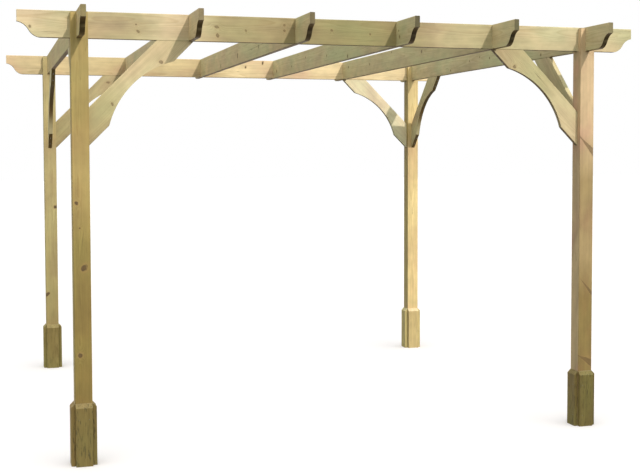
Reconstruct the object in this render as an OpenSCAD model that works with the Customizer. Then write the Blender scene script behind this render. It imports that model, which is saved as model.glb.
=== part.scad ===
// Garden pergola of planed softwood. Four square posts carry two beams and six rafters, which
// are halved over each other and drop into a cross slot at each post head. Eight curved knee
// braces stiffen the corners, and four shoe boards clad the foot of each post.
// X runs along the beams, Y along the rafters and Z up. The origin is on the ground, midway
// between the four posts.

/* [Frame] */
// Distance between post centres along the beams
span_x = 2940; // [2400:10:3600]
// Distance between post centres along the rafters
span_y = 2810; // [2400:10:3600]
// Height of the roof's top edge above the ground
height = 2370; // [2000:10:2900]
// Length of each beam past the post centre
beam_overhang = 310; // [260:5:450]
// Length of each rafter past the post centre
rafter_overhang = 300; // [260:5:450]
// Number of rafters, spaced evenly from post to post
rafter_count = 6; // [3:1:9]

/* [Boards] */
// Thickness of the beams, rafters and braces
board_thickness = 28; // [22:1:36]
// Depth of the beams and rafters
board_depth = 140; // [115:1:170]
// Radius of the eased long edges
edge_radius = 3; // [1:0.5:5]

/* [Board ends] */
// Height of the square tip above the ogee curve
tip_height = 60; // [50:1:75]
// Length of the ogee curve along the board
ogee_length = 115; // [100:1:150]
// Angle at which the ogee curve leaves the tip and meets the bottom edge
ogee_entry = 8; // [4:1:12]

/* [Posts] */
// Side of the square posts
post_width = 90; // [75:1:120]
// Radius of the eased post corners
post_radius = 4; // [1:0.5:6]
// How far the four prongs of a post head stop below the roof's top edge
prong_drop = 4; // [0:1:15]
// Chamfer around the top of a post head
prong_chamfer = 4; // [1:0.5:6]

/* [Braces] */
// Reach of a brace's lower edge along the post and along the board above it
brace_reach = 556; // [460:2:720]
// Width of the plank that a brace is cut from
brace_width = 140; // [115:1:170]
// Straight length left at each end of the curved edge
brace_shoulder = 150; // [100:5:190]
// Depth of the curve at the middle of the brace
brace_curve = 66; // [30:1:90]

/* [Shoe boards] */
// Height of the shoe boards at the post
shoe_height = 330; // [250:5:420]
// Thickness of the shoe boards
shoe_thickness = 22; // [16:1:28]
// Bare strip of post on each side of a shoe board
shoe_margin = 1.5; // [1:0.5:8]

/* [Fits] */
// Play on each side of a board in its slot or notch
joint_play = 0.3; // [0.1:0.1:1]

/* [Hidden] */
$fn = 48;
// How far each cutting shape runs past the surface that it cuts
past = 5;
// Straight pieces in each of the two arcs of an ogee curve
arc_steps = 10;
slot_width = board_thickness + 2 * joint_play;
beam_length = span_x + 2 * beam_overhang;
rafter_length = span_y + 2 * rafter_overhang;
rafter_pitch = span_x / (rafter_count - 1);
slot_floor = height - board_depth;
half_depth = board_depth / 2;

sides = ["front", "rear", "left", "right"];
// Side of a post that each of its shoe boards is on, as a turn about the post's axis
side_turn = [0, 180, -90, 90];
corners = ["front_left", "front_right", "rear_left", "rear_right"];
// Sign of each post's X and Y
corner_sign = [[-1, -1], [1, -1], [-1, 1], [1, 1]];
// Sign of each beam's Y
beam_ends = ["front", "rear"];
beam_sign = [-1, 1];

// Rectangle with rounded corners, centred on the origin
module eased_rectangle(width, depth, radius) {
    inner_width = width - 2 * radius;
    inner_depth = depth - 2 * radius;
    square([width, inner_depth], center = true);
    square([inner_width, depth], center = true);
    for (x = [-1, 1], y = [-1, 1])
        translate([x * inner_width / 2, y * inner_depth / 2]) circle(r = radius);
}

// Plank with eased long edges, along X, with its width in Z and centred on the origin
module plank(length, thickness, width, radius) {
    rotate([90, 0, 90])
        translate([0, 0, -length / 2])
            linear_extrude(height = length) eased_rectangle(thickness, width, radius);
}

// Extrusion of an outline drawn in X and Z, centred on the XZ plane
module extrude_side(thickness) {
    rotate([90, 0, 0])
        translate([0, 0, -thickness / 2])
            linear_extrude(height = thickness) children();
}

// Waste under the ogee, with the lower corner of the tip at the origin and X into the board.
// The curve is a cove and then the same arc turned half round, and meets both edges at a small
// angle. Each point is found from the curve's heading there.
module ogee_waste() {
    drop = board_depth - tip_height;
    slope = atan2(drop, ogee_length);
    steepest = 2 * slope - ogee_entry;
    radius = norm([ogee_length, drop]) / (4 * sin(slope - ogee_entry));
    heading = [for (k = [0:arc_steps]) ogee_entry + (steepest - ogee_entry) * k / arc_steps];
    cove = [for (h = heading) radius * [sin(h) - sin(ogee_entry), cos(h) - cos(ogee_entry)]];
    round_end = [for (k = [arc_steps - 1:-1:0]) [ogee_length, -drop] - cove[k]];
    polygon(concat(
        [[-past, -drop - past], [-past, 0]],
        cove,
        round_end,
        [[ogee_length, -drop - past]]
    ));
}

// Roof board along X with its top edge on Z = 0 and an ogee at each end
module roof_board(length) {
    intersection() {
        translate([0, 0, -half_depth]) plank(length, board_thickness, board_depth, edge_radius);
        extrude_side(board_thickness + 2 * past)
            difference() {
                translate([-length / 2, -board_depth - past]) square([length, board_depth + 2 * past]);
                for (end = [0, 1])
                    mirror([end, 0]) translate([-length / 2, -tip_height]) ogee_waste();
            }
    }
}

// Half-depth notch across a roof board: side is 1 for the top edge and -1 for the bottom edge
module halving(side) {
    translate([0, 0, -half_depth + side * (half_depth + past) / 2])
        cube([slot_width, board_thickness + 2 * past, half_depth + past], center = true);
}

module beam(i) {
    color("burlywood")
        translate([0, beam_sign[i] * span_y / 2, height])
            difference() {
                roof_board(beam_length);
                for (n = [0:rafter_count - 1])
                    translate([n * rafter_pitch - span_x / 2, 0, 0]) halving(1);
            }
}

module rafter(i) {
    color("tan")
        translate([i * rafter_pitch - span_x / 2, 0, height])
            rotate([0, 0, 90])
                difference() {
                    roof_board(rafter_length);
                    for (s = beam_sign)
                        translate([s * span_y / 2, 0, 0]) halving(-1);
                }
}

// Post with a cross slot in its head, as deep as the boards that it holds
module post(i) {
    head = height - prong_drop;
    chamfer_side = prong_chamfer * sqrt(2);
    color("wheat")
        translate([corner_sign[i].x * span_x / 2, corner_sign[i].y * span_y / 2, 0])
            difference() {
                linear_extrude(height = head) eased_rectangle(post_width, post_width, post_radius);
                for (turn = [0, 90])
                    rotate([0, 0, turn])
                        translate([-post_width, -slot_width / 2, slot_floor])
                            cube([2 * post_width, slot_width, board_depth]);
                for (turn = [0:90:270])
                    rotate([0, 0, turn])
                        translate([post_width / 2, 0, head])
                            rotate([0, 45, 0])
                                cube([chamfer_side, 2 * post_width, chamfer_side], center = true);
            }
}

// Brace outline, with the corner between the post's face and the board above at the origin.
// X runs away from the post.
module brace_outline() {
    back = brace_reach - brace_width * sqrt(2);
    chord = brace_reach * sqrt(2) - 2 * brace_shoulder;
    radius = (pow(chord / 2, 2) + pow(brace_curve, 2)) / (2 * brace_curve);
    difference() {
        polygon([[back, 0], [brace_reach, 0], [0, -brace_reach], [0, -back]]);
        translate([brace_reach / 2, -brace_reach / 2])
            rotate(-45) translate([radius - brace_curve, 0]) circle(r = radius, $fn = 180);
    }
}

// Brace in the XZ plane, cut from a plank that runs at 45 degrees
module brace() {
    middle = (brace_reach - brace_width / sqrt(2)) / 2;
    intersection() {
        extrude_side(board_thickness + 2 * past) brace_outline();
        translate([middle, 0, -middle])
            rotate([0, -45, 0]) plank(2 * brace_reach, board_thickness, brace_width, edge_radius);
    }
}

module beam_brace(i) {
    color("peru")
        translate([corner_sign[i].x * span_x / 2, corner_sign[i].y * span_y / 2, slot_floor])
            mirror([(corner_sign[i].x + 1) / 2, 0, 0])
                translate([post_width / 2, 0, 0]) brace();
}

module rafter_brace(i) {
    color("sandybrown")
        translate([corner_sign[i].x * span_x / 2, corner_sign[i].y * span_y / 2, slot_floor])
            rotate([0, 0, -90 * corner_sign[i].y])
                translate([post_width / 2, 0, 0]) brace();
}

// Upright board on one face of a post's foot, with its top cut at 45 degrees
module shoe(i, turn) {
    color("darkkhaki")
        translate([corner_sign[i].x * span_x / 2, corner_sign[i].y * span_y / 2, 0])
            rotate([0, 0, turn])
                translate([0, -(post_width + shoe_thickness) / 2, 0])
                    difference() {
                        linear_extrude(height = shoe_height)
                            eased_rectangle(post_width - 2 * shoe_margin, shoe_thickness, edge_radius);
                        translate([0, -shoe_thickness / 2, shoe_height - shoe_thickness])
                            rotate([45, 0, 0])
                                translate([-post_width, -2 * shoe_height, 0])
                                    cube([2 * post_width, 4 * shoe_height, shoe_height]);
                    }
}

for (i = [0:3])
    post(i);
for (i = [0, 1])
    beam(i);
for (i = [0:rafter_count - 1])
    rafter(i);
for (i = [0:3])
    beam_brace(i);
for (i = [0:3])
    rafter_brace(i);
for (i = [0:3], k = [0:3])
    shoe(i, side_turn[k]);
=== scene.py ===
# %% [markdown]
# # A timber garden pergola
# The pergola is four square posts, two beams, six rafters and eight curved knee braces, with
# four shoe boards round the foot of each post. The frame already has the true shape of every
# board, so this lesson adds what turns grey solids into timber: a wood that knows where its log
# was, the screws and nails that hold the joints, and a camera and light to look at it with.

# %% Load the frame
import math
import random
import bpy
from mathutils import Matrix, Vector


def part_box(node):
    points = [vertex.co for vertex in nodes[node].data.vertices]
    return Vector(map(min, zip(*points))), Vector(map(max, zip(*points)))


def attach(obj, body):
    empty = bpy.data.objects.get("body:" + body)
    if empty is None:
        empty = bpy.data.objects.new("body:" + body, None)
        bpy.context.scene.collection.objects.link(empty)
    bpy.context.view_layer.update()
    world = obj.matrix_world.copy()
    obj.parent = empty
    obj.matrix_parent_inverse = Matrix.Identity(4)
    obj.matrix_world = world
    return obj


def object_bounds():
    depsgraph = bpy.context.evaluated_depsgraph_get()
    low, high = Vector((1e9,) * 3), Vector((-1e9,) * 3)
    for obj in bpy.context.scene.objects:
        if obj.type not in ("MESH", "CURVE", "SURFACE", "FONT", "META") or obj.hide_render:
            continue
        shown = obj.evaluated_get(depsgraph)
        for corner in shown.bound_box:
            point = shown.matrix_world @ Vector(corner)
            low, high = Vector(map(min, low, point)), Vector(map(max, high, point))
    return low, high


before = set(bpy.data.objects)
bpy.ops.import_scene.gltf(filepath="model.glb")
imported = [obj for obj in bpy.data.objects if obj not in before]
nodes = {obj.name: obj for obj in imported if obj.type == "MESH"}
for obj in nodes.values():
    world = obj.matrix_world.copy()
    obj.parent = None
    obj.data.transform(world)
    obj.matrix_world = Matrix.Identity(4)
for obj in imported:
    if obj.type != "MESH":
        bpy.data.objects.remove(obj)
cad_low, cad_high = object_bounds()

from types import SimpleNamespace

import bmesh
import bpy
from mathutils import Euler, Matrix, Vector

scene = bpy.context.scene
print("pergola, metres:", [round(high - low, 3) for low, high in zip(cad_low, cad_high)])
print("timbers:", len(nodes))

# %% [markdown]
# ## The camera
# A person stands a little left of the near corner post, at eye height, and looks along the
# rafters towards the far right corner. The lens is long for a structure of this size, so the
# posts stay nearly parallel. A small downward shift brings the near feet into the picture while
# the camera stays almost level, as a view camera would.

# %% Place the camera
EYE = Vector((-1.946, -7.353, 1.639))
LOOK_RIGHT = math.radians(16.66)
LOOK_DOWN = math.radians(2.73)
ROLL = math.radians(-0.14)
SENSOR_WIDTH = 36.0
LENS = 62.94
LENS_SHIFT = -0.0493

camera_data = bpy.data.cameras.new("camera")
camera_data.sensor_width = SENSOR_WIDTH
camera_data.lens = LENS
camera_data.shift_y = LENS_SHIFT
camera = bpy.data.objects.new("camera", camera_data)
camera.location = EYE
aim = Euler((math.pi / 2 - LOOK_DOWN, 0.0, -LOOK_RIGHT), "XYZ").to_matrix()
camera.rotation_euler = (aim @ Matrix.Rotation(ROLL, 3, "Z")).to_euler()
scene.collection.objects.link(camera)
scene.camera = camera
view_width = 2 * math.degrees(math.atan(SENSOR_WIDTH / 2 / LENS))
print("the lens sees", round(view_width, 1), "degrees across")

# %% [markdown]
# ## Shader maths in plain Python
# A wood shader is mostly arithmetic: distances, rings and thresholds. Wired by hand, that is
# dozens of Math nodes. `Wire` stands for one output socket and knows +, -, *, / and powers, so
# that an expression such as `1 - mask` adds its own nodes. The methods with an r in front serve
# expressions where the plain number comes first.

# %% Write the wire
class Wire:
    """An output socket that can be used in an expression."""

    def __init__(self, recipe, socket):
        self.recipe = recipe
        self.socket = socket

    def math(self, operation, *others, swap=False):
        terms = [self, *others]
        if swap:
            terms.reverse()
        return self.recipe.node("ShaderNodeMath", {"operation": operation}, dict(enumerate(terms)))

    def __add__(self, other):
        return self.math("ADD", other)

    __radd__ = __add__

    def __sub__(self, other):
        return self.math("SUBTRACT", other)

    def __rsub__(self, other):
        return self.math("SUBTRACT", other, swap=True)

    def __mul__(self, other):
        return self.math("MULTIPLY", other)

    __rmul__ = __mul__

    def __truediv__(self, other):
        return self.math("DIVIDE", other)

    def __rtruediv__(self, other):
        return self.math("DIVIDE", other, swap=True)

    def __pow__(self, other):
        return self.math("POWER", other)

    def __rpow__(self, other):
        return self.math("POWER", other, swap=True)

    def __neg__(self):
        return self * -1.0

    def __abs__(self):
        return self.math("ABSOLUTE")


print("a wire has", sum(callable(part) for part in vars(Wire).values()), "methods")

# %% [markdown]
# ## One place that makes nodes
# `Recipe` is the node tree of one material or world. Every node that isn't plain maths comes
# from `Recipe.node`, which sets a node's options first and then its sockets, and the short
# methods after it name the few nodes that wood needs again and again. Colours go through a Mix
# node and directions through Vector Math, because a Math node turns a colour grey.

# %% Write the recipe
class Recipe:
    """The node tree of a material or a world, and the shader at its end."""

    def __init__(self, owner, shader="Principled BSDF"):
        owner.use_nodes = True
        self.owner = owner
        self.tree = owner.node_tree
        self.shader = self.tree.nodes[shader]

    def node(self, kind, settings=None, sockets=None, output=0):
        made = self.tree.nodes.new(kind)
        for key, value in (settings or {}).items():
            if key == "stops":
                self.set_stops(made.color_ramp, value)
            else:
                setattr(made, key, value)
        for key, value in (sockets or {}).items():
            self.plug(value, made.inputs[key])
        return Wire(self, made.outputs[output])

    def set_stops(self, ramp, stops):
        while len(ramp.elements) < len(stops):
            ramp.elements.new(0.5)
        for element, (place, amount) in zip(ramp.elements, stops):
            element.position = place
            element.color = (amount, amount, amount, 1.0)

    def plug(self, value, socket):
        if isinstance(value, Wire):
            self.tree.links.new(value.socket, socket)
        else:
            socket.default_value = value

    def finish(self, **sockets):
        for key, value in sockets.items():
            self.plug(value, self.shader.inputs[key.replace("_", " ")])
        return self.owner

    def split(self, vector):
        made = self.node("ShaderNodeSeparateXYZ", {}, {0: vector}).socket.node
        return [Wire(self, made.outputs[k]) for k in range(3)]

    def join(self, x, y, z):
        return self.node("ShaderNodeCombineXYZ", {}, {0: x, 1: y, 2: z})

    def dot(self, first, second):
        settings = {"operation": "DOT_PRODUCT"}
        return self.node("ShaderNodeVectorMath", settings, {0: first, 1: second}, "Value")

    def step(self, value, start, end):
        """Rises smoothly from 0 at start to 1 at end, or falls where end is the lower."""
        settings = {"interpolation_type": "SMOOTHSTEP"}
        sockets = {"Value": value, "From Min": start, "From Max": end}
        return self.node("ShaderNodeMapRange", settings, sockets)

    def noise(self, vector, scale, detail=2.0, roughness=0.5, stretch=(1.0, 1.0, 1.0)):
        settings = {"operation": "MULTIPLY"}
        stretched = self.node("ShaderNodeVectorMath", settings, {0: vector, 1: stretch})
        sockets = {"Vector": stretched, "Scale": scale, "Detail": detail, "Roughness": roughness}
        return self.node("ShaderNodeTexNoise", {"noise_dimensions": "3D"}, sockets)

    def tint(self, factor, first, second, how="MIX"):
        """Colours mixed by a factor; numbers in a colour are linear red, green and blue."""
        settings = {"data_type": "RGBA", "blend_type": how, "clamp_factor": True}
        sides = [c if isinstance(c, Wire) else (*c, 1.0) for c in (first, second)]
        return self.node("ShaderNodeMix", settings, {0: factor, 6: sides[0], 7: sides[1]}, 2)


trial = Recipe(bpy.data.materials.new("trial"))
mask = trial.node("ShaderNodeTexNoise")
print("1 - mask adds a", (1 - mask).socket.node.operation, "node")
bpy.data.materials.remove(trial.owner)

# %% [markdown]
# ## The floor
# The floor is one pale face, so wide that no edge shows. A faint glow keeps it as white as the
# sky behind it, and a trace of pink in the paint cancels the sky's green. Diffuse rays don't
# see it, so that it throws no light up at the boards.

# %% Lay the floor
WHITE = (1.0, 1.0, 1.0)
FLOOR_REACH = 60.0
FLOOR_PAINT = (0.97, 0.885, 0.95, 1.0)
FLOOR_GLOW = 0.10

stage_mesh = bmesh.new()
bmesh.ops.create_grid(stage_mesh, x_segments=1, y_segments=1, size=FLOOR_REACH)
floor_data = bpy.data.meshes.new("floor")
stage_mesh.to_mesh(floor_data)
stage_mesh.free()
floor = bpy.data.objects.new("floor", floor_data)
scene.collection.objects.link(floor)
floor.visible_diffuse = False

paint = Recipe(bpy.data.materials.new("floor_paint"))
paint.finish(Base_Color=FLOOR_PAINT, Roughness=0.9, Specular_IOR_Level=0.0)
paint.finish(Emission_Color=(*WHITE, 1.0), Emission_Strength=FLOOR_GLOW)
floor_data.materials.append(paint.owner)
print("floor:", [round(side) for side in floor.dimensions.xy], "metres")

# %% [markdown]
# ## The suns
# A sun from the front right gives the boards one warm lit side and one cool shaded side. It
# lets each rafter draw a slanting shadow on the post or beam behind it, which shows how far the
# boards stand apart.
#
# Light linking decides what a sun reaches. The floor gets none, so it keeps only the soft
# shadow of the sky. Most of the feet stand in shade, so their shoe boards get none either. The
# rear left post stands clear of the roof's shadow, so it has a second sun that nothing but the
# post itself blocks.

# %% Hang the suns
SUN_TRAVEL = Vector((-0.48, 1.0, -0.95))
SUN_STRENGTH = 2.75
SUN_SPREAD = math.radians(1.2)
SUN_COLOUR = (1.0, 0.94, 0.88)


def shine(name, receivers, blockers=None):
    """A sun that lights only the receivers. Where blockers are given, only they shade it."""
    sun_data = bpy.data.lights.new(name, "SUN")
    sun_data.energy = SUN_STRENGTH
    sun_data.angle = SUN_SPREAD
    sun_data.color = SUN_COLOUR
    sun = bpy.data.objects.new(name, sun_data)
    sun.rotation_euler = SUN_TRAVEL.to_track_quat("-Z", "Y").to_euler()
    scene.collection.objects.link(sun)
    lit = bpy.data.collections.new(f"lit_by_{name}")
    for part in receivers:
        lit.objects.link(part)
    sun.light_linking.receiver_collection = lit
    if blockers is not None:
        sun.light_linking.blocker_collection = blockers
    return lit


clear_post = nodes["post_rear_left"]
shaded = [part for node, part in nodes.items() if node.startswith("shoe") and "rear_right" not in node]
shaded.append(clear_post)
sunlit = shine("sun", [part for part in nodes.values() if part not in shaded])
open_sky = bpy.data.collections.new("open_sky")
open_sky.objects.link(clear_post)
shine("clear_sun", [clear_post], open_sky)
print("sun height:", round(math.degrees(math.asin(-SUN_TRAVEL.normalized().z)), 1), "degrees")

# %% [markdown]
# ## The sky
# A world can be brighter on one side than on another, like a studio with one large window. This
# one is brightest in front, so that the faces towards the viewer stay open in the shade. It is
# nearly dark below, because the undersides of a garden structure face dull ground. The camera
# itself sees plain white. A world has a node tree too, so the same class wires it.

# %% Colour the sky
SKY_BEHIND = (0.68, 0.74, 0.69)
SKY_IN_FRONT = (1.60, 1.71, 1.55)
DULL_GROUND = (0.030, 0.026, 0.014)

world = bpy.data.worlds.new("sky")
scene.world = world
scene.view_settings.view_transform = "Standard"
sky = Recipe(world, "Background")
_, back, up = sky.split(sky.node("ShaderNodeTexCoord", output="Generated"))
glow = sky.tint(sky.step(back, 0.6, -0.8), SKY_BEHIND, SKY_IN_FRONT)
light = sky.tint(sky.step(up, -0.08, 0.14), DULL_GROUND, glow)
seen = sky.node("ShaderNodeLightPath", output="Is Camera Ray")
sky.finish(Color=sky.tint(seen, light, WHITE), Strength=1.0)
print("the sky has", len(sky.tree.nodes), "nodes")

# %% [markdown]
# ## A wood that knows its log
# Sawn timber is a slice of a tree, and its figure is the tree's growth rings cut at whatever
# angle the saw took. So the shader doesn't paint stripes on a board. It rebuilds the log round
# it: Z runs along the grain, the distance from the pith gives the ring, and each face cuts the
# rings where it lies. Wide faces show arches, edges show fine lines and ends show arcs, all
# from one rule. A real trunk isn't quite straight, so a slow noise makes the log sway.

# %% Find the log
X, Y, Z = Vector((1, 0, 0)), Vector((0, 1, 0)), Vector((0, 0, 1))
ALONG_X = (0.0, -math.pi / 2, 0.0)
ALONG_Y = (math.pi / 2, 0.0, 0.0)
ALONG_Z = (0.0, 0.0, 0.0)
SWAY = 0.05


def grain_of(turn):
    """The way that the grain runs in the frame, for a turn from the frame's axes to the log's."""
    return Euler(turn, "XYZ").to_matrix().inverted() @ Z


def to_log(turn, pith, spot):
    """A point of the frame in its log's own axes, with the pith on Z."""
    return Euler(turn, "XYZ").to_matrix() @ (Vector(spot) - Vector(pith))


def log_of(recipe, turn, pith):
    """The place of a point in its log, first with a natural sway and then without."""
    where = recipe.node("ShaderNodeTexCoord", output="Object")
    shift = to_log(turn, pith, (0.0, 0.0, 0.0))
    sockets = {"Vector": where, "Rotation": turn, "Location": shift}
    straight = recipe.node("ShaderNodeMapping", {"vector_type": "POINT"}, sockets)
    sway = recipe.noise(straight, 1.7, detail=1.0, stretch=(1.0, 1.0, 0.55))
    x, y, z = recipe.split(straight)
    drift = (sway - 0.5) * SWAY
    return recipe.join(x + drift, y - drift, z), straight


for turn in (ALONG_X, ALONG_Y, ALONG_Z):
    print("grain along", [round(part) for part in grain_of(turn)])

# %% [markdown]
# ## Branches
# A knot is a branch that the saw has cut. A branch is a thin cone of wood that starts at the
# pith and leans along the trunk as it runs outwards. A face that crosses it shows a round knot,
# and a face that lies along it shows a long spike. So each knot is one cone, and the shader
# measures how far a point is from the middle of the nearest.

# %% Grow the branches
FAR = 9.0
PITH_REACH = 0.003


def branch(recipe, place, root, girth):
    """Distance from the middle of one branch, as a share of its girth, which grows from the pith
    outwards. root is a point that it passes, and its last number is the lean along the trunk."""
    x, y, z = place
    at_x, at_y, at_z, lean = root
    reach = math.hypot(at_x, at_y)
    cosine, sine = at_x / reach, at_y / reach
    outward = x * cosine + y * sine
    aside = y * cosine - x * sine
    rise = (z - outward * lean - (at_z - reach * lean)) * (1.0 / math.hypot(1.0, lean))
    middle_distance = (aside ** 2 + rise ** 2).math("SQRT")
    taper = (outward / reach).math("MAXIMUM", 0.3)
    return middle_distance / (taper * girth) + recipe.step(outward, PITH_REACH, 0.0) * FAR


def nearest_branch(recipe, straight, knots):
    """Distance from the nearest of the branches, each a root and a girth."""
    place = recipe.split(straight)
    near = FAR
    for root, girth in knots:
        near = branch(recipe, place, root, girth).math("MINIMUM", near)
    return near


print("a bare board is", FAR, "girths from any knot")

# %% [markdown]
# ## The figure
# Everything that shows on a board is one of these masks. Most are noises, stretched along the
# grain because wood cells are long and thin, and a table keeps them side by side. Rings are the
# distance from the pith, counted in ring widths: pale early wood turns slowly to dark late wood
# and stops sharply. The rings bend outwards where they pass over a knot, and a knot has a dark
# rim and a brown stain round it.

# %% Draw the figure
RING = 0.0042
RING_WAVER = 0.006
KNOT_LIFT = 0.012
# Scale, detail, roughness, and the share of that scale across and along the grain
PATTERNS = {
    "ragged": (90.0, 3.0, 0.6, 1.0, 1.0),
    "waver": (30.0, 2.0, 0.5, 1.0, 0.06),
    "fibre": (420.0, 3.0, 0.6, 1.0, 0.018),
    "cloud": (6.5, 3.0, 0.55, 1.0, 0.45),
    "cast": (5.5, 2.0, 0.5, 1.0, 0.5),
    "streak": (60.0, 2.0, 0.5, 1.0, 0.03),
    "blotch": (17.0, 3.0, 0.6, 1.0, 0.6),
    "pits": (130.0, 4.0, 0.6, 1.0, 0.14),
    "drying": (26.0, 1.0, 0.5, 1.0, 0.035),
    "saw": (90.0, 3.0, 0.7, 0.4, 1.6),
}


def figure(recipe, turn, pith, knots):
    """The masks of the wood at each point, by name, with its place along the grain."""
    bent, straight = log_of(recipe, turn, pith)
    wood = SimpleNamespace()
    for name, (scale, detail, roughness, across, along) in PATTERNS.items():
        pattern = recipe.noise(straight, scale, detail, roughness, (across, across, along))
        setattr(wood, name, pattern)

    near = nearest_branch(recipe, straight, knots)
    ragged = near + (wood.ragged - 0.5) * 1.1
    wood.knot = recipe.step(ragged, 1.10, 0.70)
    wood.rim = recipe.step(ragged, 0.55, 0.85) * recipe.step(ragged, 1.25, 0.95)
    wood.halo = recipe.step(ragged, 2.4, 0.8)

    x, y, wood.along = recipe.split(bent)
    lift = math.e ** (near ** 2 * -0.16) * KNOT_LIFT
    radius = (x ** 2 + y ** 2).math("SQRT") + lift + (wood.waver - 0.5) * RING_WAVER
    ring = (radius / RING).math("FRACT")
    wood.late = ring ** 2.5 * recipe.step(ring, 1.0, 0.9)
    wood.crack = recipe.step(abs(wood.drying - 0.5), 0.006, 0.0) * recipe.step(wood.cloud, 0.52, 0.62)
    return wood


print("rings:", round(RING * 1000, 1), "mm apart, patterns:", len(PATTERNS))

# %% [markdown]
# ## Colour, from the inside out
# The colour is laid on in the order in which a board gets it. First comes sound wood, with fine streaks
# and the green and warm patches that pressure treatment leaves. A hue for each board shifts the whole
# of it, because no two trees match; on the rear beam and the far right brace the hue is raised further,
# a painted highlight of full sun.

# %% Colour the sound wood
EARLY_WOOD = (0.670, 0.530, 0.296)
LATE_WOOD = (0.435, 0.300, 0.130)
GREEN_CAST = (0.420, 0.440, 0.235)
WARM_CAST = (0.660, 0.420, 0.265)


def sound_wood(recipe, wood, hue, green, warm):
    """The colour before knots and weather."""
    colour = recipe.tint(wood.late * 0.55, EARLY_WOOD, LATE_WOOD)
    colour = recipe.tint(recipe.step(wood.cast, 0.40, 0.75) * green, colour, GREEN_CAST)
    colour = recipe.tint(recipe.step(wood.cast, 0.52, 0.25) * warm, colour, WARM_CAST)
    mottle = 0.78 + recipe.step(wood.cloud, 0.25, 0.75) * 0.30 + (wood.blotch - 0.5) * 0.36
    shade = mottle + (wood.fibre - 0.5) * 0.24 + (wood.streak - 0.5) * 0.34
    return recipe.tint(1.0, colour, recipe.join(*(shade * share for share in hue)), "MULTIPLY")


print("early wood", EARLY_WOOD, "and late wood", LATE_WOOD)

# %% [markdown]
# ## Painted shade and weather along the board
# A board is darkened unevenly along its length, and more on some faces than on others. On the posts and
# the beams this is painted shade, where the sun is kept off parts of them; on the braces and the shoe
# boards it is weather. A colour ramp is a good profile for this: its stops say how dark the board is at
# each place from one end to the other, and a little cloud keeps the bands from looking ruled.

# %% Paint shade and weather on the wood
SHADE_AND_WEATHER = (0.360, 0.350, 0.190)
UNDARKENED = ((0.0, 0.0), (1.0, 0.0))


def painted_shade_and_weather(recipe, colour, wood, back, length, weather, faces):
    """Darkens the colour along the board: painted shade on the posts and beams, weather on the braces
    and shoe boards. The profile pairs a place along the length, from 0 to 1, with an amount there.
    faces gives how much of it the front face takes, and how much the others take."""
    front, others = faces
    # Painted shade: the front face and the other faces take different shares of the darkening.
    face_share = recipe.step(-back, 0.2, 0.8) * (front - others) + others
    share = wood.along / length + 0.5 + (wood.cloud - 0.5) * 0.06
    profile = recipe.node("ShaderNodeValToRGB", {"stops": weather}, {"Fac": share})
    return recipe.tint(profile * face_share, colour, SHADE_AND_WEATHER, "MULTIPLY")


print("full weather leaves", SHADE_AND_WEATHER, "of the colour")

# %% [markdown]
# ## Knots, cracks and splashes
# Next come the marks: brown knots with their rim and stain, hairline drying cracks, and the
# soil that rain splashes into the pits of a rough-sawn board.

# %% Mark the wood
KNOT_BROWN = (0.075, 0.042, 0.016)
KNOT_HALO = (0.330, 0.190, 0.075)
KNOT_RIM = (0.055, 0.032, 0.014)
SPLASH = (0.075, 0.060, 0.025)


def marked(recipe, colour, wood, marks, sawn):
    """marks is the strength of the knots, and sawn how rough the board is."""
    colour = recipe.tint(wood.halo * 0.35 * marks, colour, KNOT_HALO)
    colour = recipe.tint(wood.knot * (0.35 + wood.blotch) * marks, colour, KNOT_BROWN)
    colour = recipe.tint(wood.rim * 0.60 * marks, colour, KNOT_RIM)
    colour = recipe.tint(wood.crack * 0.55, colour, KNOT_RIM)
    return recipe.tint(recipe.step(wood.pits, 0.53, 0.64) * (0.75 * sawn), colour, SPLASH)


print("knots are", KNOT_BROWN, "with a rim of", KNOT_RIM)

# %% [markdown]
# ## Edges, undersides and ends
# The last layer follows the shape of the board. Undersides are darkened: painted shade on the faces
# that look down. The arrises, the long corners of a board, are tinted in patches, and a Bevel node
# finds them by comparing the true normal with a rounded one. End grain is darker, and it is where a
# face lies square to the grain; the same darkening takes in the curved undersides at the rafter tips,
# where it is painted shade.

# %% Finish the faces
PAINTED_UNDERSIDE_SHADE = (0.270, 0.205, 0.090)
ARRIS = (0.420, 0.370, 0.230)
ARRIS_REACH = 0.005


def edged(recipe, colour, wood, normal, up):
    # Painted shade: faces that look down are darkened.
    colour = recipe.tint(recipe.step(-up, 0.25, 0.65), colour, PAINTED_UNDERSIDE_SHADE, "MULTIPLY")
    rounded = recipe.node("ShaderNodeBevel", {"samples": 4}, {"Radius": ARRIS_REACH})
    tinted = recipe.step(recipe.dot(rounded, normal), 0.985, 0.80) * recipe.step(wood.cloud, 0.35, 0.60)
    return recipe.tint(tinted * 0.35, colour, ARRIS)


print("arrises are rubbed for", ARRIS_REACH * 1000, "mm")

# %% [markdown]
# ## The whole finish
# One function puts the layers together and adds the surface. Its bump follows the same masks as
# its colour, so light catches what the colour shows. Only Base Color, Roughness and Normal vary,
# and the rest stays on the shader's own sockets, so the finish can be baked.

# %% Mix the timber
END_DIRT_AND_SHADE = (0.400, 0.410, 0.380)
GRAIN_DEPTH = 0.0007


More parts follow.
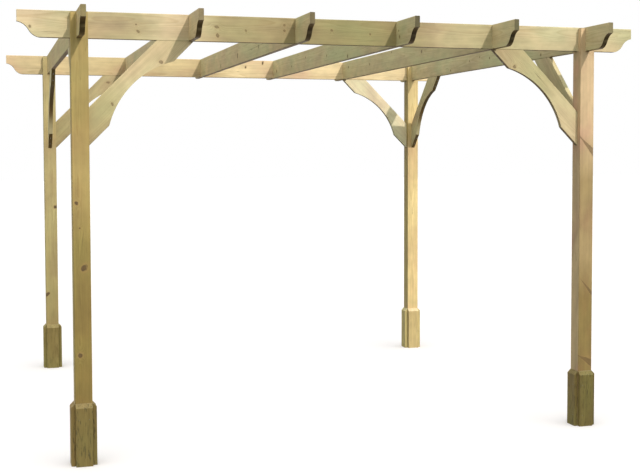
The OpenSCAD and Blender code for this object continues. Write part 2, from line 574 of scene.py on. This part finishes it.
def timber(name, turn, pith, length, knots, hue, green, warm, weather=UNDARKENED,
           faces=(1.0, 0.4), marks=1.0, ends=END_DIRT_AND_SHADE, sawn=0.0):
    """A softwood finish. turn takes the object's axes to the log's, pith is a point on its pith,
    and green and warm are the strengths of the two casts."""
    recipe = Recipe(bpy.data.materials.new(name))
    wood = figure(recipe, turn, pith, knots)
    normal = recipe.node("ShaderNodeTexCoord", output="Normal")
    _, back, up = recipe.split(normal)
    end_grain = recipe.step(abs(recipe.dot(normal, grain_of(turn))), 0.3, 0.8)

    colour = sound_wood(recipe, wood, hue, green, warm)
    colour = painted_shade_and_weather(recipe, colour, wood, back, length, weather, faces)
    colour = marked(recipe, colour, wood, marks, sawn)
    colour = edged(recipe, colour, wood, normal, up)
    # End grain is darkened; where the mask takes in the curved undersides of the rafter tips, this is
    # painted shade.
    colour = recipe.tint(end_grain, colour, ends, "MULTIPLY")

    height = wood.fibre * 0.5 + wood.late * 0.35 - wood.crack * 1.5 + wood.knot * 0.4
    height = height + (wood.saw - wood.pits) * sawn
    sockets = {"Strength": 0.6, "Distance": GRAIN_DEPTH, "Height": height}
    bump = recipe.node("ShaderNodeBump", {}, sockets)
    rough = 0.62 + (wood.cloud - 0.5) * 0.25 + end_grain * 0.2 - wood.knot * 0.05
    return recipe.finish(Base_Color=colour, Roughness=rough, Normal=bump, Specular_IOR_Level=0.3)


print("the grain stands", GRAIN_DEPTH * 1000, "mm deep at most")

# %% [markdown]
# ## Cutting each board from its own log
# No two boards of a real frame look alike, so each gets its own slice. The pith lies a little
# off the board for the planks and inside the post for the posts, which are cut from small trees
# with the heart boxed in. The offsets are drawn from a seeded generator, so that the same frame
# comes out on every run. A board has a few knots of its own at places that matter to the look,
# and some have one more at random.

# %% Set out the grain
draw = random.Random(28)


def middle(node):
    low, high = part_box(node)
    return (low + high) / 2


def plank_pith(node, thin, wide):
    """A pith beyond one face of a plank, with thin and wide the plank's cross directions."""
    side = draw.choice((-1.0, 1.0))
    return middle(node) + thin * side * draw.uniform(0.03, 0.09) + wide * draw.uniform(-0.05, 0.05)


def dress(node, turn, pith, spots=(), facing=-Y, scattered=0, **finish):
    """Gives a timber its own material. spots are knots on the face that looks along facing, each
    with its place sideways and up from the middle of that face, its lean and its girth."""
    low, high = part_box(node)
    size = high - low
    face = middle(node) + facing * abs(size.dot(facing)) / 2
    aside = X if facing.x == 0 else Y
    knots = []
    for across, up, lean, girth in spots:
        place = face + aside * across + Z * up
        knots.append(((*to_log(turn, pith, place), lean), girth))
    for _ in range(scattered):
        place = [draw.uniform(start, end) for start, end in zip(low, high)]
        root = (*to_log(turn, pith, place), draw.uniform(-0.8, 0.8))
        knots.append((root, draw.uniform(0.004, 0.010)))
    length = sum(abs(share) * side for share, side in zip(grain_of(turn), size))
    part = nodes[node]
    part.data.materials.clear()
    part.data.materials.append(timber(f"wood_{node}", turn, pith, length, knots, **finish))


print("the near post's middle is at", [round(part, 3) for part in middle("post_front_left")])

# %% [markdown]
# ## The posts
# Each post is one square baulk. The near posts are darker and browner towards the foot, most of all on
# the front face: painted shade, where the sun does not reach their lower parts. The far right post is
# the palest timber of the frame, and only its side faces are darkened, evenly: painted shade on its
# sides. The front right post is cut beside its pith, so its branches lie along the front face and show
# as long spikes.

# %% Finish the posts
# The darkening profiles here are painted shade: low on the near posts, and on the sides of the far
# right post.
POSTS = {
    "post_front_left": {
        "hue": (0.73, 0.67, 0.47), "green": 0.35, "warm": 0.30, "scattered": 1,
        "weather": (
            (0.0, 0.85), (0.34, 0.80), (0.50, 0.72), (0.58, 0.35), (0.65, 0.22), (0.78, 0.46),
            (1.0, 0.22),
        ),
        "spots": (
            (-0.025, 0.195, 0.5, 0.008), (-0.010, 0.065, 0.3, 0.004), (0.005, -0.145, 0.6, 0.012),
            (-0.015, -0.600, 0.2, 0.011),
        ),
    },
    "post_front_right": {
        "hue": (0.97, 0.88, 0.97), "green": 0.10, "warm": 1.0, "faces": (1.0, 0.22), "marks": 0.7,
        "weather": ((0.0, 1.0), (0.32, 1.0), (0.44, 0.70), (0.62, 0.78), (0.74, 0.16), (1.0, 0.05)),
        "spots": (
            (0.020, 0.475, -1.05, 0.012), (0.020, -0.365, -1.20, 0.006), (0.020, -0.795, -0.55, 0.014),
        ),
    },
    "post_rear_left": {
        "hue": (0.77, 0.78, 0.69), "green": 0.25, "warm": 0.35, "scattered": 1,
        "weather": ((0.0, 0.72), (0.3, 0.50), (0.6, 0.22), (1.0, 0.10)),
        "spots": ((0.030, 0.045, 0.3, 0.011),),
    },
    "post_rear_right": {
        "hue": (1.10, 1.06, 0.93), "green": 0.10, "warm": 0.45, "scattered": 1,
        "weather": ((0.0, 0.65), (1.0, 0.65)), "faces": (0.0, 1.0),
    },
}
HEARTS = {"post_front_right": (-0.050, -0.0475)}
for post, finish in POSTS.items():
    drawn = (draw.uniform(-0.02, 0.02), draw.uniform(-0.02, 0.02))
    aside, behind = HEARTS.get(post, drawn)
    dress(post, ALONG_Z, middle(post) + X * aside + Y * behind, **finish)
print("posts:", len(POSTS))

# %% [markdown]
# ## The beams
# A beam is a planed plank on edge, with its grain along X. The front beam is darker in its middle and
# lighter at its ends, painted shadow of dappled shade across it, and has small knots in groups, one
# whorl of branches after another. The rear beam has a paler hue and is darker only over its left half:
# a painted highlight of full sun, strongest at its right end.

# %% Finish the beams
# The front beam's darkening profile is painted shadow; the rear beam's pale hue and clean right end are
# painted highlight.
BEAMS = {
    "beam_front": {
        "hue": (0.99, 1.03, 1.16), "green": 0.55, "warm": 0.35, "marks": 0.6,
        "weather": (
            (0.0, 0.02), (0.05, 0.18), (0.13, 0.42), (0.17, 0.42), (0.21, 0.0), (0.26, 0.10),
            (0.30, 0.62), (0.38, 0.70), (0.50, 0.82), (0.57, 0.80), (0.65, 0.42), (0.72, 0.38),
            (0.83, 0.25), (0.92, 0.0), (1.0, 0.35),
        ),
        "spots": (
            (-1.715, -0.015, 0.3, 0.006), (-1.165, -0.025, 0.9, 0.006), (-1.175, 0.010, 0.4, 0.004),
            (-0.745, 0.010, 1.2, 0.007), (-0.740, -0.035, 0.3, 0.008), (-0.585, -0.005, 0.2, 0.005),
            (-0.370, 0.030, 0.2, 0.006), (-0.370, 0.000, 0.3, 0.006), (-0.100, 0.010, 0.5, 0.006),
            (0.125, -0.005, 0.2, 0.005),
        ),
    },
    "beam_rear": {
        "hue": (1.13, 1.12, 1.22), "green": 0.08, "warm": 0.60, "scattered": 1,
        "weather": ((0.0, 0.24), (0.12, 0.24), (0.22, 0.40), (0.40, 0.36), (0.50, 0.05), (1.0, 0.0)),
        "spots": ((0.195, 0.050, 0.2, 0.006), (0.055, 0.015, 0.2, 0.006)),
    },
}
for beam, finish in BEAMS.items():
    dress(beam, ALONG_X, plank_pith(beam, Y, Z), **finish)
print("beams:", len(BEAMS))

# %% [markdown]
# ## The rafters
# The rafters are the same planks turned along Y. Their left faces show, and a row of knots runs
# along most of them. Here a knot is given by its place along the rafter, its height from the
# middle line and its girth. Its lean is drawn at random.

# %% Finish the rafters
RAFTER_KNOTS = {
    "rafter_1": (),
    "rafter_2": ((-1.195, 0.035, 0.009), (-1.285, -0.030, 0.010), (1.365, 0.010, 0.011)),
    "rafter_3": ((0.610, -0.040, 0.008), (0.045, -0.010, 0.014), (-0.560, -0.005, 0.009)),
    "rafter_4": (
        (1.275, -0.020, 0.012), (0.825, -0.015, 0.009), (0.440, 0.020, 0.008), (-0.080, -0.010, 0.008),
        (-0.535, -0.050, 0.010), (-1.470, -0.020, 0.009), (-1.455, 0.015, 0.005),
    ),
    "rafter_5": (
        (1.240, 0.020, 0.009), (0.725, 0.005, 0.010), (0.245, 0.055, 0.006), (-0.330, 0.010, 0.011),
    ),
    "rafter_6": (
        (0.545, -0.045, 0.007), (0.200, 0.000, 0.006), (0.025, 0.015, 0.006), (-0.140, -0.005, 0.008),
        (-0.895, -0.045, 0.008),
    ),
}
TIP_END_TONE = {"rafter_1": 1.1, "rafter_3": 0.62, "rafter_4": 0.45, "rafter_5": 0.52}
RAFTER_HUE = {"rafter_1": (0.90, 0.86, 0.78)}
PLAIN_HUE = (1.0, 1.0, 1.05)
KNOT_SHRINK = 0.85

for rafter, row in RAFTER_KNOTS.items():
    finish = {
        "ends": [share * TIP_END_TONE.get(rafter, 1.0) for share in END_DIRT_AND_SHADE],
        "hue": [share * draw.uniform(0.97, 1.03) for share in RAFTER_HUE.get(rafter, PLAIN_HUE)],
        "green": draw.uniform(0.5, 0.7),
        "warm": draw.uniform(0.1, 0.3),
        "spots": [(*place, draw.uniform(-0.5, 0.5), girth * KNOT_SHRINK) for *place, girth in row],
        "facing": -X,
        "marks": 0.8,
    }
    dress(rafter, ALONG_Y, plank_pith(rafter, X, Z), **finish)
print("rafters:", len(RAFTER_KNOTS))

# %% [markdown]
# ## Knee braces
# A brace is cut from a plank that leans at 45 degrees, and its grain leans with it. The curve is
# sawn across that grain, which is why its middle shows end grain and its shoulders don't. The
# four braces under the rafters take the plain look, and the four under the beams change it.

# %% Finish the braces
def cream(tone):
    return (tone, tone * 1.04, tone * 1.12)


PLAIN_BRACE = {
    "hue": cream(1.0), "green": 0.5, "warm": 0.35, "marks": 0.6, "scattered": 1,
    "weather": ((0.0, 0.15), (1.0, 0.10)),
}
BEAM_BRACES = {
    "beam_brace_front_left": {
        "hue": cream(1.02),
        "weather": ((0.0, 0.60), (0.3, 0.52), (0.5, 0.08), (1.0, 0.08)),
        "spots": ((-0.155, -0.060, 0.3, 0.006),),
    },
    "beam_brace_front_right": {
        "hue": cream(0.97),
        "weather": ((0.0, 0.0), (0.35, 0.10), (0.5, 0.42), (1.0, 0.32)),
        "spots": ((-0.135, 0.180, 0.4, 0.009), (0.035, -0.015, 0.2, 0.006)),
    },
    "beam_brace_rear_left": {"hue": cream(0.98), "weather": ((0.0, 0.66), (1.0, 0.32))},
    # A paler, bluer hue for the far right brace: a painted highlight, as full sun whitens it.
    "beam_brace_rear_right": {"hue": (1.22, 1.33, 1.65), "weather": UNDARKENED},
}
braces = sorted(node for node in nodes if "brace" in node)
frame_middle = (Vector(cad_low) + Vector(cad_high)) / 2
for brace in braces:
    outward = middle(brace) - frame_middle
    if brace.startswith("beam"):
        turn = (0.0, math.copysign(math.pi / 4, outward.x), 0.0)
        thin = Y
    else:
        turn = (math.copysign(math.pi / 4, -outward.y), 0.0, 0.0)
        thin = X
    finish = PLAIN_BRACE | BEAM_BRACES.get(brace, {})
    dress(brace, turn, plank_pith(brace, thin, Z), **finish)
print("braces:", len(braces))

# %% [markdown]
# ## Shoe boards
# The boards round each foot are rough sawn and lie in the splash zone, so they are the darkest and the
# most broken in surface. Their bevelled tops are end grain, and here the end grain is painted lighter
# than the faces: a painted highlight of the sky light on an upward face.

# %% Finish the shoes
PAINTED_TOP_LIGHT = (1.28, 1.34, 1.75)
# Hue, weather, green cast and roughness of the sawing at each foot
FEET = {
    "front_left": ((0.68, 0.58, 0.40), 0.45, 0.5, 1.0),
    "front_right": ((0.57, 0.51, 0.33), 0.55, 0.5, 0.9),
    "rear_left": ((0.69, 0.63, 0.43), 0.30, 0.4, 0.5),
    "rear_right": ((0.87, 0.85, 0.70), 0.12, 0.1, 0.15),
}
shoes = sorted(node for node in nodes if node.startswith("shoe_"))
for shoe in shoes:
    hue, wear, green, sawn = FEET["_".join(shoe.split("_")[1:3])]
    low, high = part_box(shoe)
    thin, wide = (X, Y) if high.x - low.x < high.y - low.y else (Y, X)
    finish = {
        "hue": [draw.uniform(0.97, 1.03) * share for share in hue],
        "green": green,
        "warm": 0.15,
        "weather": ((0.0, wear), (1.0, wear)),
        "faces": (1.0, 1.0),
        # Painted highlight: the bevelled tops are lightened.
        "ends": PAINTED_TOP_LIGHT,
        "sawn": sawn,
    }
    dress(shoe, ALONG_Z, plank_pith(shoe, thin, wide), **finish)
print("shoe boards:", len(shoes))

# %% [markdown]
# ## Screws and nails
# The braces and the roof are held by countersunk screws, and four thin nails hold each shoe
# board. A screw head could be a disc with a bump for its cross, but light shows a real recess
# better. So it starts as a small grid whose middle cross is sunk for the driver, with a ring
# grown round it. A nail head is a flat cone. Each is made once, and then stamped at its places.

# %% Make the heads
SCREW_RADIUS = 0.0042
SCREW_SKIRT = 0.0012
NAIL_RADIUS = 0.0016
NAIL_DEPTH = 0.0008


def keep(shape, name):
    """Turns a finished bmesh into a mesh with its faces outwards."""
    mesh = bpy.data.meshes.new(name)
    bmesh.ops.recalc_face_normals(shape, faces=shape.faces)
    shape.to_mesh(mesh)
    shape.free()
    return mesh


def screw_head():
    shape = bmesh.new()
    bmesh.ops.create_grid(shape, x_segments=3, y_segments=3, size=SCREW_RADIUS * 0.55)
    cross = []
    for face in shape.faces:
        centre = face.calc_center_median()
        if min(abs(centre.x), abs(centre.y)) < SCREW_RADIUS * 0.1:
            cross.append(face)
    for drop in (0.0, SCREW_SKIRT):
        open_edges = [edge for edge in shape.edges if edge.is_boundary]
        grown = bmesh.ops.extrude_edge_only(shape, edges=open_edges)["geom"]
        for vert in (part for part in grown if isinstance(part, bmesh.types.BMVert)):
            vert.co = vert.co.to_2d().normalized().to_3d() * SCREW_RADIUS - Z * drop
    recess = {"thickness": SCREW_RADIUS * 0.06, "depth": -SCREW_RADIUS * 0.3}
    bmesh.ops.inset_region(shape, faces=cross, **recess)
    return keep(shape, "screw_head")


def nail_head():
    shape = bmesh.new()
    rims = {"radius1": NAIL_RADIUS, "radius2": NAIL_RADIUS * 0.8}
    bmesh.ops.create_cone(shape, cap_ends=True, segments=8, depth=NAIL_DEPTH, **rims)
    return keep(shape, "nail_head")


heads = {"screws": screw_head(), "nails": nail_head()}
for kind, mesh in heads.items():
    print(kind, "have", len(mesh.polygons), "faces each")

# %% [markdown]
# ## Screws in the braces
# Each place is a point on a timber and the direction in which the head faces. All of them are
# worked out from the boxes of the timbers, so they follow the frame if its sizes change. A
# brace has two screws in each shoulder, driven from below at a right angle to its edge.

# %% Find the brace screws
SCREW_STEPS = (0.045, 0.105)

screws = []
for brace in braces:
    low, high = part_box(brace)
    along = X if brace.startswith("beam") else Y
    inward = -math.copysign(1.0, (middle(brace) - frame_middle).dot(along)) * along
    corner = middle(brace) - inward * (high - low).dot(along) / 2
    corner.z = high.z
    reach = high.z - low.z
    slope = (inward + Z).normalized()
    facing = (inward - Z).normalized()
    for step_in in SCREW_STEPS:
        screws.append((corner - Z * reach + slope * step_in, facing))
        screws.append((corner + inward * reach - slope * step_in, facing))
print("screws in the braces:", len(screws))

# %% [markdown]
# ## Screws in the roof
# Two screws go into each post head from its outer side, one through each of the prongs there,
# and one goes down through each crossing of a rafter and a beam.

# %% Find the roof screws
board_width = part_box("beam_front")[1].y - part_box("beam_front")[0].y
for post in POSTS:
    low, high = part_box(post)
    outward = -X if "left" in post else X
    prong = ((high.y - low.y) / 2 + board_width / 2) / 2
    for side in (-1.0, 1.0):
        spot = middle(post) + Y * side * prong + outward * (high.x - low.x) / 2
        spot.z = middle("beam_front").z
        screws.append((spot, outward))

for rafter in RAFTER_KNOTS:
    for beam in BEAMS:
        spot = Vector((middle(rafter).x, middle(beam).y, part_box(rafter)[1].z))
        screws.append((spot, Z))
print("screws in all:", len(screws))

# %% [markdown]
# ## Nails in the shoe boards
# Each shoe board has two nails low down and two near its top, a little in from its edges.

# %% Find the nails
FACING = {"front": -Y, "rear": Y, "left": -X, "right": X}
NAIL_SPREAD = 0.3
NAIL_HEIGHTS = (0.2, 0.75)

nails = []
for shoe in shoes:
    low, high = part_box(shoe)
    outward = FACING[shoe.split("_")[-1]]
    across = outward.cross(Z)
    face = middle(shoe) + outward * abs((high - low).dot(outward)) / 2
    for side in (-1.0, 1.0):
        for share in NAIL_HEIGHTS:
            spot = face + across * side * abs((high - low).dot(across)) * NAIL_SPREAD
            spot.z = low.z + (high.z - low.z) * share
            nails.append((spot, outward))
print("nails:", len(nails))

# %% [markdown]
# ## Galvanised steel
# The zinc on outdoor fixings is dull and patchy, so its roughness varies over each head and a
# little brown stain gathers here and there.

# %% Mix the steel
DULL_ZINC = (0.16, 0.16, 0.15)
BRIGHT_ZINC = (0.34, 0.34, 0.32)
RUST = (0.12, 0.07, 0.035)

steel = Recipe(bpy.data.materials.new("galvanised_steel"))
spot_of = steel.node("ShaderNodeTexCoord", output="Object")
patch = steel.noise(spot_of, 700.0, detail=3.0)
stain = steel.step(steel.noise(spot_of, 90.0), 0.52, 0.70)
zinc = steel.tint(stain * 0.6, steel.tint(patch, DULL_ZINC, BRIGHT_ZINC), RUST)
dents = steel.node("ShaderNodeBump", {}, {"Strength": 0.3, "Distance": 0.0002, "Height": patch})
steel.finish(Base_Color=zinc, Metallic=1.0 - stain * 0.7, Roughness=0.38 + patch * 0.3, Normal=dents)
print("the steel has", len(steel.tree.nodes), "nodes")

# %% [markdown]
# ## Stamping
# All the heads of one kind become one mesh. Each is turned to face out of its timber, with a
# random twist, because nobody stops a driver at the same angle twice. The heads stand a hair
# proud of the wood, which is enough to catch the light.

# %% Stamp the heads
PROUD = 0.0003

for name, places in (("screws", screws), ("nails", nails)):
    shape = bmesh.new()
    for spot, facing in places:
        before = len(shape.verts)
        shape.from_mesh(heads[name])
        shape.verts.ensure_lookup_table()
        twist = Matrix.Rotation(draw.uniform(0.0, math.tau), 4, "Z")
        stand = facing.to_track_quat("Z", "Y").to_matrix().to_4x4()
        place = Matrix.Translation(spot + facing * PROUD) @ stand @ twist
        bmesh.ops.transform(shape, matrix=place, verts=shape.verts[before:])
    piece = bpy.data.objects.new(name, keep(shape, name))
    piece.data.materials.append(steel.owner)
    scene.collection.objects.link(piece)
    sunlit.objects.link(piece)
    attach(piece, "root")
    print(name, "mesh:", len(piece.data.polygons), "faces")

# %% [markdown]
